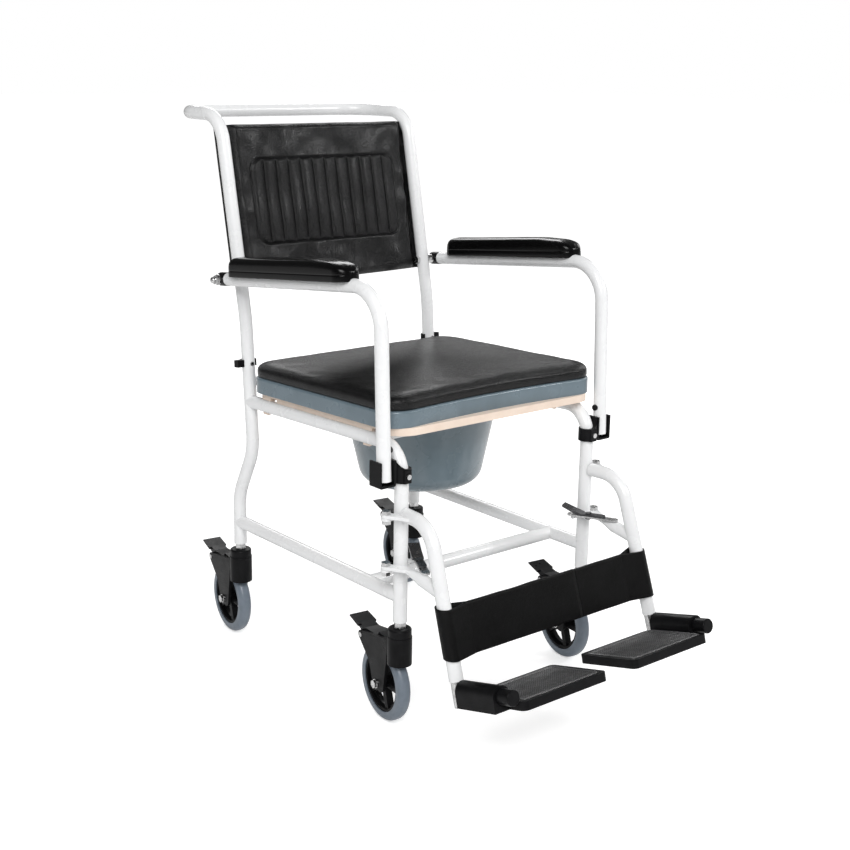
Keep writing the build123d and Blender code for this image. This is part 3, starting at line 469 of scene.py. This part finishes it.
build_panel()
field_mid = sum(field_v) / 2
field_half_v = (field_v[1] - field_v[0]) / 2
outline = [(u, v + field_mid) for u, v in rounded_outline(FIELD_HALF, field_half_v, FIELD_CORNER)]
surface_stitches("back_field_stitching", dense(outline))
for k in range(1, CHANNELS):
    u = -FIELD_HALF + 2 * FIELD_HALF * k / CHANNELS
    line = [(u, field_v[0] + 3), (u, field_v[1] - 3)]
    surface_stitches(f"back_channel_stitching_{k}", dense(line))
for name, v in (("low", -panel_half_v + 11), ("high", panel_half_v - 11)):
    surface_stitches(f"back_hem_stitching_{name}", dense([(-170, v), (170, v)]))


# Seat cushion

seat_along = Vector((0, math.cos(SEAT_TILT), -math.sin(SEAT_TILT)))
seat_out = Vector((0, math.sin(SEAT_TILT), math.cos(SEAT_TILT)))
seat_at = local(chair(0, 0, SEAT_Z), X, seat_along, seat_out)
SEAT_SHIFT = 10.0
CUSHION_BASE, CUSHION_RISE, CUSHION_CROWN = 38.3, 24.0, 3.6
CUSHION_HALF_X, CUSHION_FRONT_Y, CUSHION_REAR_Y, CUSHION_CORNER = 221.0, 5.0, 401.0, 42.0
FRONT_DIP = 18.0


def front_edge_y(x):
    """Front edge that dips towards the middle."""
    return CUSHION_FRONT_Y + FRONT_DIP * (1 - (x / CUSHION_HALF_X) ** 2)


def cushion_outline(count):
    """Counter-clockwise outline with even steps and the inward normal at each point."""
    half, corner = CUSHION_HALF_X, CUSHION_CORNER
    raw = []
    straight = half - corner
    slope = math.atan(2 * FRONT_DIP / half)
    for k in range(60):
        x = -straight + 2 * straight * k / 59
        raw.append((x, front_edge_y(x)))
    front_y = front_edge_y(straight)
    for side in (1, -1):
        steps = [math.radians(-90 + 90 * k / 20) for k in range(1, 21)]
        turn = [(straight + corner * math.cos(a), front_y + corner + corner * math.sin(a)) for a in steps]
        rise = [(half, front_y + corner + (CUSHION_REAR_Y - front_y - 2 * corner) * k / 40) for k in range(1, 41)]
        top = [math.radians(90 * k / 20) for k in range(1, 21)]
        turn_back = [(straight + corner * math.cos(a), CUSHION_REAR_Y - corner + corner * math.sin(a)) for a in top]
        run = turn + rise + turn_back
        if side > 0:
            raw += run
            raw += [(straight - 2 * straight * k / 60, CUSHION_REAR_Y) for k in range(1, 61)]
        else:
            raw += [(-x, y) for x, y in reversed(run)]
    points = even_steps(raw, count)
    for _ in range(6):
        points = [tuple((points[k - 1][c] + 2 * points[k][c] + points[(k + 1) % count][c]) / 4 for c in (0, 1))
                  for k in range(count)]
    normals = []
    for k in range(count):
        ax, ay = points[k - 1]
        bx, by = points[(k + 1) % count]
        length = math.hypot(bx - ax, by - ay)
        normals.append((-(by - ay) / length, (bx - ax) / length))
    return points, normals


def even_steps(raw, count):
    closed = raw + raw[:1]
    spans = [math.hypot(bx - ax, by - ay) for (ax, ay), (bx, by) in zip(closed, closed[1:])]
    total = sum(spans)
    points, index, passed = [], 0, 0.0
    for k in range(count):
        target = total * k / count
        while passed + spans[index] < target:
            passed += spans[index]
            index += 1
        t = (target - passed) / max(spans[index], 1e-9)
        (ax, ay), (bx, by) = closed[index], closed[index + 1]
        points.append((ax + (bx - ax) * t, ay + (by - ay) * t))
    return points


def build_cushion():
    """Foam pad with a tight side, a long rounded shoulder and a shallow crown."""
    count = 400
    edge, inward = cushion_outline(count)
    shoulder, wall = 30.0, 9.0
    profile = [(2.4, 0.0), (0.7, 1.3), (0.0, 4.0), (0.0, wall)]
    for k in range(1, 13):
        a = math.radians(90 * k / 12)
        profile.append((shoulder * (1 - math.cos(a)) ** 1.05, wall + (CUSHION_RISE - wall) * math.sin(a) ** 0.85))
    middle = (CUSHION_FRONT_Y + CUSHION_REAR_Y) / 2
    rings = []
    for inset, height in profile:
        ring = []
        for (x, y), (nx, ny) in zip(edge, inward):
            px, py = x + nx * inset, y + ny * inset
            ring.append((px, py, height + cushion_lift(px, py, height, inset)))
        rings.append(ring)
    inner = [(x + nx * shoulder, y + ny * shoulder) for (x, y), (nx, ny) in zip(edge, inward)]
    for k in range(1, 36):
        t = 1 - k / 36
        ring = []
        for x, y in inner:
            px, py = x * t, middle + (y - middle) * t
            height = CUSHION_RISE + CUSHION_CROWN * (1 - t ** 2.2)
            ring.append((px, py, height + cushion_lift(px, py, height, shoulder + (1 - t) * 150)))
        rings.append(ring)
    placed = [[seat_at(SEAT_SHIFT + x, y, CUSHION_BASE + z) for x, y, z in ring] for ring in rings]
    cushion = loft("seat_cushion_cover", placed, MATERIALS["vinyl_black"])
    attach(cushion, "seat_cushion")
    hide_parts("seat_cushion")
    return cushion


def cushion_lift(x, y, height, inset):
    """Soft undulation of the cover, with faint pull lines near the shoulder."""
    ease = smoothstep(9, 20, height)
    lift = 0.9 * fold_noise(x, y, 5, 95) + 0.3 * fold_noise(x, y, 11, 34)
    pull = groove(inset - 34, 20)
    return ease * (lift + pull * 0.45 * math.sin((x + y) / 12 + 2.4 * fold_noise(x, y, 2, 40)))


build_cushion()


# Arm pads

ARM_X = 231.0
PAD_OFFSET = 3.5
PAD_HALF_WIDTH, PAD_CORNER = 23.0, 20.5
PAD_SLOPE, PAD_FRONT_END, PAD_REAR_END = 90.0, 38.0, 26.0
PAD_FRONT_Y, PAD_REAR_Y = 76.0, 395.0
PAD_LOW, PAD_SEAM, PAD_HIGH = TUBE_R + 0.3 - 5.0, TUBE_R + 5.5, TUBE_R + 28.3
arm_pivot_y = POST_FOOT_Y + (ARM_PIVOT_Z - POST_FOOT_Z) * math.tan(BACK_LEAN)
arm_back = Vector((0, math.cos(ARM_RISE), -math.sin(ARM_RISE)))
arm_up = Vector((0, math.sin(ARM_RISE), math.cos(ARM_RISE)))


def pad_section(width, high):
    """Half profiles of the pad from its underside, round the seam, to its crown."""
    def underside(x):
        off = abs(x + PAD_OFFSET)
        clear = TUBE_R + 0.3
        arch = math.sqrt(clear ** 2 - off ** 2) if off < clear else 0.0
        return max(PAD_LOW, arch)

    low = [(width * t, None) for t in (-0.96, -0.9, -0.8, -0.7, -0.6, -0.5, -0.4, -0.3, -0.2, -0.1,
                                      0.0, 0.1, 0.2, 0.3, 0.4, 0.5, 0.6, 0.7, 0.8, 0.9, 0.96)]
    points = [(x, underside(x)) for x, _ in low]
    side = [(0.99, PAD_LOW + 0.6), (1.0, PAD_LOW + 2), (1.0, PAD_SEAM - 1.6), (0.995, PAD_SEAM - 0.8),
            (0.955, PAD_SEAM), (0.985, PAD_SEAM + 0.9), (0.99, PAD_SEAM + 2.2)]
    right = [(width * f, z) for f, z in side]
    rise = high - PAD_SEAM - 2.2
    for k in range(1, 11):
        a = math.radians(90 * k / 10)
        right.append((width * (0.99 - 0.62 * (1 - math.cos(a)) ** 1.5), PAD_SEAM + 2.2 + rise * math.sin(a) ** 0.8))
    crown = [(width * 0.37 * (1 - k / 4), high + 0.5 * (k / 4)) for k in range(1, 4)]
    top = right + crown + [(0.0, high + 0.5)]
    mirrored = [(-x, z) for x, z in reversed(right + crown)]
    return points + top + mirrored


def build_arm_pad(side):
    """Moulded arm rest: a straight lower band and a crown that falls away at both ends."""
    sign = 1 if side == "left" else -1
    front_z = ARM_PIVOT_Z + (arm_pivot_y - PAD_FRONT_Y) * math.tan(ARM_RISE)
    origin = chair(sign * (ARM_X + PAD_OFFSET), PAD_FRONT_Y, front_z)
    at = local(origin, X * sign, arm_back, arm_up)
    length = (PAD_REAR_Y - PAD_FRONT_Y) / math.cos(ARM_RISE)
    stations = 130
    rings = []
    for k in range(stations + 1):
        t = 0.5 - 0.5 * math.cos(math.pi * k / stations)
        s = length * t
        near = min(s, length - s)
        bend = max(0.0, PAD_CORNER - near)
        width = PAD_HALF_WIDTH - PAD_CORNER + math.sqrt(PAD_CORNER ** 2 - bend ** 2)
        front_fall = 1 - smoothstep(0, PAD_SLOPE, s)
        crown = PAD_HIGH - 4.5 * front_fall - 1.6 * smoothstep(0.2, 0.9, t) + 0.3 * fold_noise(s, 0, 4, 40)
        end, inset_end = (PAD_FRONT_END, 3.0) if s < length / 2 else (PAD_REAR_END, 8.0)
        round_end = min(1.0, near / end)
        fullness = math.sqrt(max(0.0, 1 - (1 - round_end) ** 2))
        low_crown = PAD_SEAM + 3.0
        high = low_crown + (crown - low_crown) * fullness
        inset = inset_end * (1 - round_end) ** 2
        ring = []
        for x, z in pad_section(width, high):
            lean = inset * max(0.0, (z - PAD_SEAM) / (PAD_HIGH - PAD_SEAM)) if z > PAD_SEAM else 0.0
            shift = lean if s < length / 2 else -lean
            ring.append(at(x, s + shift, z))
        rings.append(ring)
    pad = loft(f"arm_pad_{side}", rings, MATERIALS["pad_black"])
    flat_caps(pad)
    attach(pad, f"armrest_{side}")
    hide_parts(f"armrest_{side}_pad")


def flat_caps(obj):
    for face in obj.data.polygons:
        if len(face.vertices) > 4:
            face.use_smooth = False


for side in ("left", "right"):
    build_arm_pad(side)


# Calf strap

STRAP_MID_Z, STRAP_HEIGHT, STRAP_WALL, STRAP_TAPER, STRAP_SEAM_X = 204.0, 72.0, 2.2, 42.0, 57.0
STRAP_SET_BACK = 8.0
HANGER_END_Y, HANGER_END_Z = -148.3, 136.0
tube_line_y = HANGER_END_Y + (STRAP_MID_Z - HANGER_END_Z) * math.tan(HANGER_LEAN)
strap_x = LEG_X - tube_line_y * math.sin(HANGER_SPLAY)
strap_y = tube_line_y * math.cos(HANGER_SPLAY)


def wrap_outline(radius, nose_x, nose_y, steps=30):
    """Arc round the tube from its front to where a straight run leaves for the nose."""
    dx, dy = nose_x - strap_x, nose_y - strap_y
    leave = math.atan2(dy, dx) % math.tau - math.acos(radius / math.hypot(dx, dy))
    start = -math.pi / 2 - STRAP_SET_BACK / STRAP_TAPER
    points = []
    for k in range(steps + 1):
        a = start + (leave - start) * k / steps
        points.append((strap_x + radius * math.cos(a), strap_y + radius * math.sin(a)))
    return points


def run_points(start, end, count):
    """Evenly spaced points between two others, without either."""
    return [tuple(a + (b - a) * k / count for a, b in zip(start, end)) for k in range(1, count)]


def build_strap(side):
    """Half of the strap: one loop round its hanger tube and the flat band to the seam."""
    sign = 1 if side == "left" else -1
    end_x = STRAP_SEAM_X + 0.3 if side == "left" else -STRAP_SEAM_X
    inner_r = (TUBE_R + 0.3) / math.cos(HANGER_LEAN)
    band_y = strap_y - inner_r + STRAP_SET_BACK
    front_y, rear_y = band_y - STRAP_WALL, band_y + STRAP_WALL
    nose_x = strap_x - STRAP_TAPER
    rows = 28

    wrap = wrap_outline(inner_r + STRAP_WALL, nose_x, rear_y)
    nose, end = (nose_x, rear_y), (end_x, rear_y)
    outer = wrap + run_points(wrap[-1], nose, 18) + [nose] + run_points(nose, end, 30) + [end]
    outer += [(end_x, band_y + STRAP_WALL * f) for f in (0.45, 0.12, -0.12, -0.45)]
    turn = (nose_x, front_y)
    outer += [(end_x, front_y)] + run_points((end_x, front_y), turn, 34) + [turn] + run_points(turn, wrap[0], 16)
    hole = wrap_outline(inner_r, nose_x + 6, band_y + 0.5)
    tip = (nose_x + 6, band_y + 0.5)
    hole += run_points(hole[-1], tip, 14) + [tip, (nose_x + 6, band_y)] + run_points((nose_x + 6, band_y), hole[0], 14)

    def placed(loop, t):
        rise = (0.5 - t) * STRAP_HEIGHT
        ring = []
        for x, y in loop:
            back = rise * math.tan(HANGER_LEAN)
            away = 1 - smoothstep(0, 60, abs(x - strap_x))
            sway = -math.tan(HANGER_LEAN) * math.sin(HANGER_SPLAY) * rise * away
            slack = smoothstep(20, 120, strap_x - x)
            wave = slack * (0.5 * math.sin(x / 31.0 + rise / 40.0) + 1.0 * fold_noise(x, rise, 3, 60))
            wave += slack * 0.3 * fold_noise(x, rise, 8, 22)
            edge = 0.6 * fold_noise(x, 0, 20 if t < 0.5 else 40, 50) * abs(2 * t - 1) ** 3
            ring.append(chair(sign * (x + sway), y + back + wave, STRAP_MID_Z + rise + edge))
        return ring

    work = bmesh.new()
    for loop in (outer, hole):
        rings = [[work.verts.new(p) for p in placed(loop, r / rows)] for r in range(rows + 1)]
        count = len(loop)
        for r in range(rows):
            for k in range(count):
                q = (k + 1) % count
                work.faces.new((rings[r][k], rings[r][q], rings[r + 1][q], rings[r + 1][k]))
    bmesh.ops.remove_doubles(work, verts=work.verts, dist=0.00003)
    rims = [e for e in work.edges if e.is_boundary]
    for upper in (True, False):
        rim = [e for e in rims if (e.verts[0].co.z > STRAP_MID_Z * MM) == upper]
        bmesh.ops.triangle_fill(work, edges=rim, use_beauty=True)
    bmesh.ops.recalc_face_normals(work, faces=work.faces)
    mesh = bpy.data.meshes.new(f"calf_strap_band_{side}")
    work.to_mesh(mesh)
    work.free()
    mesh.polygons.foreach_set("use_smooth", [True] * len(mesh.polygons))
    mesh.materials.append(STRAP_VINYL)
    strap = bpy.data.objects.new(mesh.name, mesh)
    bpy.context.scene.collection.objects.link(strap)
    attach(strap, f"hanger_{side}")
    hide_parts(f"calf_strap_{side}")


for side in ("left", "right"):
    build_strap(side)


# Footplate treads: a raised diamond lattice laid in each plate's recess

SPINDLE_Z = 136.0 - 12.5
spindle_along = HANGER_END_Y - 12.5 * math.tan(HANGER_LEAN)
SPINDLE_X = LEG_X - spindle_along * math.sin(HANGER_SPLAY)
SPINDLE_Y = spindle_along * math.cos(HANGER_SPLAY)
TREAD_OUTER, TREAD_INNER, TREAD_REAR, TREAD_FRONT = -19.6, -173.4, -17.6, -120.4
TREAD_BASE, TREAD_TOP = -8.98, -8.55
BEAD_R, BEAD_INSET, BEAD_CORNER = 1.7, 1.9, 6.0
plate_back = Vector((0, math.cos(PLATE_TILT), -math.sin(PLATE_TILT)))
plate_up = Vector((0, math.sin(PLATE_TILT), math.cos(PLATE_TILT)))


def tread_height(u, v):
    a, b = (u + v) / 4.4, (u - v) / 4.4
    stud = max(0.0, math.cos(math.pi * a) ** 2 + math.cos(math.pi * b) ** 2 - 1.0)
    return TREAD_TOP + 0.6 * stud


def build_tread(side):
    sign = 1 if side == "left" else -1
    at = local(chair(sign * SPINDLE_X, SPINDLE_Y, SPINDLE_Z), X * sign, plate_back, plate_up)
    columns, rows = 150, 100
    verts, faces = [], []
    for layer in (0, 1):
        for r in range(rows + 1):
            for c in range(columns + 1):
                u = TREAD_OUTER + (TREAD_INNER - TREAD_OUTER) * c / columns
                v = TREAD_FRONT + (TREAD_REAR - TREAD_FRONT) * r / rows
                verts.append(at(u, v, tread_height(u, v) if layer == 0 else TREAD_BASE))
    n, layer_size = columns + 1, (columns + 1) * (rows + 1)
    for r in range(rows):
        for c in range(columns):
            a = r * n + c
            faces.append((a, a + 1, a + 1 + n, a + n))
            b = a + layer_size
            faces.append((b, b + n, b + n + 1, b + 1))
    rim = [c for c in range(n)] + [r * n + columns for r in range(1, rows + 1)]
    rim += [rows * n + c for c in reversed(range(columns))] + [r * n for r in reversed(range(1, rows))]
    for a, b in zip(rim, rim[1:] + rim[:1]):
        faces.append((a, a + layer_size, b + layer_size, b))
    tread = tidy_mesh(make_mesh(f"footplate_tread_{side}", verts, faces, TREAD_PAINTED_LIGHT, smooth=False))
    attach(tread, f"footplate_{side}")


def build_bead(side):
    """Smooth raised line that frames the tread, in a lighter grey that is a painted highlight along it."""
    sign = 1 if side == "left" else -1
    at = local(chair(sign * SPINDLE_X, SPINDLE_Y, SPINDLE_Z), X * sign, plate_back, plate_up)
    half_u, half_v = (TREAD_OUTER - TREAD_INNER) / 2 - BEAD_INSET, (TREAD_REAR - TREAD_FRONT) / 2 - BEAD_INSET
    mid_u, mid_v = (TREAD_OUTER + TREAD_INNER) / 2, (TREAD_REAR + TREAD_FRONT) / 2
    line = dense(rounded_outline(half_u, half_v, BEAD_CORNER, 10), 4.0)[:-1]
    verts, faces = [], []
    for k, (u, v) in enumerate(line):
        (ax, ay), (bx, by) = line[k - 1], line[(k + 1) % len(line)]
        span = math.hypot(bx - ax, by - ay)
        out_u, out_v = (by - ay) / span, -(bx - ax) / span
        for j in range(10):
            turn = math.tau * j / 10
            off = BEAD_R * math.cos(turn)
            height = TREAD_TOP + 0.2 + 0.75 * BEAD_R * math.sin(turn)
            verts.append(at(mid_u + u + out_u * off, mid_v + v + out_v * off, height))
    for k in range(len(line)):
        for j in range(10):
            a, b = k * 10, (k + 1) % len(line) * 10
            faces.append((a + j, b + j, b + (j + 1) % 10, a + (j + 1) % 10))
    bead = tidy_mesh(make_mesh(f"footplate_bead_{side}", verts, faces, BEAD_PAINTED_HIGHLIGHT))
    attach(bead, f"footplate_{side}")


for side in ("left", "right"):
    build_tread(side)
    build_bead(side)


# Floor, light and camera

def build_stage():
    mesh = bpy.data.meshes.new("floor")
    mesh.from_pydata([(-30, -30, 0), (30, -30, 0), (30, 30, 0), (-30, 30, 0)], [], [(0, 1, 2, 3)])
    floor = bpy.data.objects.new("floor", mesh)
    bpy.context.scene.collection.objects.link(floor)
    mat = bpy.data.materials.new("floor_white")
    mat.use_nodes = True
    tree = mat.node_tree
    tree.nodes.clear()
    out = tree.nodes.new("ShaderNodeOutputMaterial")
    diffuse = node(tree, "ShaderNodeBsdfDiffuse", Color=(0.86, 0.86, 0.86, 1))
    glow = node(tree, "ShaderNodeEmission", Color=(1, 1, 1, 1))
    place = tree.nodes.new("ShaderNodeNewGeometry")
    reach = tree.nodes.new("ShaderNodeVectorMath")
    reach.operation = "LENGTH"
    tree.links.new(place.outputs["Position"], reach.inputs[0])
    spread = node(tree, "ShaderNodeMapRange")
    for socket, value in zip(("From Min", "From Max", "To Min", "To Max"), (0.9, 3.0, 0.49, 0.72)):
        spread.inputs[socket].default_value = value
    tree.links.new(reach.outputs["Value"], spread.inputs["Value"])
    strength = math_node(tree, "MULTIPLY", seen_ray(tree, 0.0, 1.0, 0.15), spread.outputs["Result"])
    tree.links.new(strength, glow.inputs["Strength"])
    add = tree.nodes.new("ShaderNodeAddShader")
    tree.links.new(diffuse.outputs[0], add.inputs[0])
    tree.links.new(glow.outputs[0], add.inputs[1])
    tree.links.new(add.outputs[0], out.inputs["Surface"])
    mesh.materials.append(mat)


def seen_ray(tree, unseen, seen, mirrored):
    """Strength for light bounces, for what the camera sees and for what shiny things mirror."""
    path = tree.nodes.new("ShaderNodeLightPath")
    direct = math_node(tree, "MAXIMUM", path.outputs["Is Camera Ray"], path.outputs["Is Transmission Ray"])
    shown = math_node(tree, "MULTIPLY", direct, seen - unseen)
    gloss = math_node(tree, "MULTIPLY", path.outputs["Is Glossy Ray"], mirrored - unseen)
    return math_node(tree, "ADD", math_node(tree, "ADD", shown, gloss), unseen)


def build_world():
    world = bpy.data.worlds.new("studio")
    bpy.context.scene.world = world
    world.use_nodes = True
    tree = world.node_tree
    back = tree.nodes["Background"]
    back.inputs["Color"].default_value = (1, 1, 1, 1)
    tree.links.new(seen_ray(tree, 0.40, 1.0, 0.10), back.inputs["Strength"])


def build_lamp(name, place, target, size, power):
    lamp = bpy.data.lights.new(name, "AREA")
    lamp.shape = "RECTANGLE"
    lamp.size, lamp.size_y = size
    lamp.energy = power
    made = bpy.data.objects.new(name, lamp)
    made.location = place
    made.rotation_euler = (Vector(target) - Vector(place)).to_track_quat("-Z", "Y").to_euler()
    bpy.context.scene.collection.objects.link(made)


CAMERA_AZ, CAMERA_EL, CAMERA_ROLL = (math.radians(a) for a in (-39.94, 14.72, 0.93))
CAMERA_AT = (-1466.5, -1566.3, 1020.6)
FOCAL_PX, FRAME_PX, SENSOR = 1404.37, 850, 36.0


def build_camera():
    right = Vector((math.cos(CAMERA_AZ), math.sin(CAMERA_AZ), 0))
    back = Vector((math.sin(CAMERA_AZ) * math.cos(CAMERA_EL),
                   -math.cos(CAMERA_AZ) * math.cos(CAMERA_EL), math.sin(CAMERA_EL)))
    up = back.cross(right)
    c, s = math.cos(CAMERA_ROLL), math.sin(CAMERA_ROLL)
    right, up = right * c + up * s, up * c - right * s
    lens = bpy.data.cameras.new("camera")
    lens.sensor_width = SENSOR
    lens.lens = FOCAL_PX * SENSOR / FRAME_PX
    lens.clip_start, lens.clip_end = 0.05, 100
    camera = bpy.data.objects.new("camera", lens)
    turn = Matrix((right, up, back)).transposed().to_4x4()
    camera.matrix_world = Matrix.Translation(chair(*CAMERA_AT)) @ turn
    bpy.context.scene.collection.objects.link(camera)
    bpy.context.scene.camera = camera


build_stage()
build_world()
build_lamp("key", (-2.2, -2.6, 3.0), (0, 0, 0.5), (2.2, 2.2), 120)
build_lamp("fill", (3.2, 0.3, 1.8), (0, 0, 0.5), (1.6, 1.6), 24)
build_lamp("glint", (2.2, -2.3, 2.1), (0, 0.2, 0.7), (0.4, 0.6), 26)
build_lamp("rear", (1.9, 2.8, 2.4), (0, 0, 0.5), (1.8, 1.2), 34)
build_camera()
bpy.context.scene.view_settings.view_transform = "Standard"
